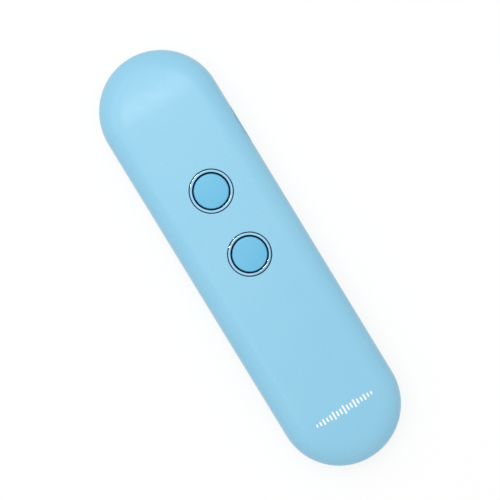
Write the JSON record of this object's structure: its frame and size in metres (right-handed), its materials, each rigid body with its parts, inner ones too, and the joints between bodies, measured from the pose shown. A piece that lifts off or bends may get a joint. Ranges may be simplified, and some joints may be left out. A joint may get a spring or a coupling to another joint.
{
  "type": "handheld translator",
  "caption": "Slim handheld voice translator with round ends, ringed push buttons on its face, a side slide switch, an end charging socket and a rear speaker grille.",
  "frame": {"origin": "on the flat rear, under the middle of the length and of the width", "axes": "+X across the width towards the slide switch's side, +Y along the length towards the speaker end, +Z out of the front face"},
  "size_m": [0.0374, 0.1399, 0.0123],
  "materials": {
    "satin_shell": "satin light blue",
    "button_blue": "smooth, a deeper blue than the shell",
    "bright_ring": "polished, tinted pale blue",
    "steel": "plain",
    "board_green": "solder mask on glass laminate",
    "black_plastic": "matt",
    "chip_black": "matt epoxy",
    "white_nylon": "natural",
    "foil": "laminated pouch",
    "foam": "open-cell foam",
    "rubber": "matt",
    "clear_plastic": "clear moulding",
    "lead_red": "insulated wire",
    "lead_black": "insulated wire",
    "ceramic_cream": "fired chip"
  },
  "bodies": {
    "case": {"front_shell": "satin_shell", "rear_shell": "satin_shell", "upper_button_ring": "bright_ring", "lower_button_ring": "bright_ring", "upper_switch_body": "black_plastic", "lower_switch_body": "black_plastic", "circuit_board": "board_green", "board_screw_1": "steel", "board_screw_2": "steel", "board_screw_3": "steel", "board_screw_4": "steel", "board_screw_5": "steel", "board_screw_6": "steel", "main_processor": "chip_black", "memory_chip": "chip_black", "crystal": "steel", "radio_shield": "steel", "charge_controller": "chip_black", "power_inductor": "chip_black", "chip_antenna": "ceramic_cream", "audio_amplifier": "chip_black", "power_switch_body": "steel", "charge_socket": "steel", "charge_socket_tongue": "black_plastic", "top_microphone": "steel", "top_mic_boot": "rubber", "bottom_microphone": "steel", "bottom_mic_boot": "rubber", "status_light": "white_nylon", "status_light_pipe": "clear_plastic", "battery_cell": "foil", "battery_foam": "foam", "battery_header": "white_nylon", "battery_plug": "white_nylon", "battery_lead_black": "lead_black", "battery_lead_red": "lead_red", "speaker_mesh": "black_plastic", "speaker_gasket": "foam", "speaker_frame": "black_plastic", "speaker_magnet": "steel", "speaker_diaphragm": "chip_black", "speaker_lead_black": "lead_black", "speaker_lead_red": "lead_red"},
    "upper_button": {"upper_button_cap": "button_blue", "upper_switch_plunger": "white_nylon"},
    "lower_button": {"lower_button_cap": "button_blue", "lower_switch_plunger": "white_nylon"},
    "power_slider": {"power_knob": "button_blue", "power_switch_lever": "white_nylon"}
  },
  "joints": [
    {"name": "upper_button_press", "type": "slide", "parent": "case", "child": "upper_button", "axis": [0, 0, -1], "range_m": [0, 0.0005], "stiffness_N_per_m": 1200},
    {"name": "lower_button_press", "type": "slide", "parent": "case", "child": "lower_button", "axis": [0, 0, -1], "range_m": [0, 0.0005], "stiffness_N_per_m": 1200},
    {"name": "power_switch_slide", "type": "slide", "parent": "case", "child": "power_slider", "axis": [0, 1, 0], "range_m": [0, 0.002]}
  ]
}
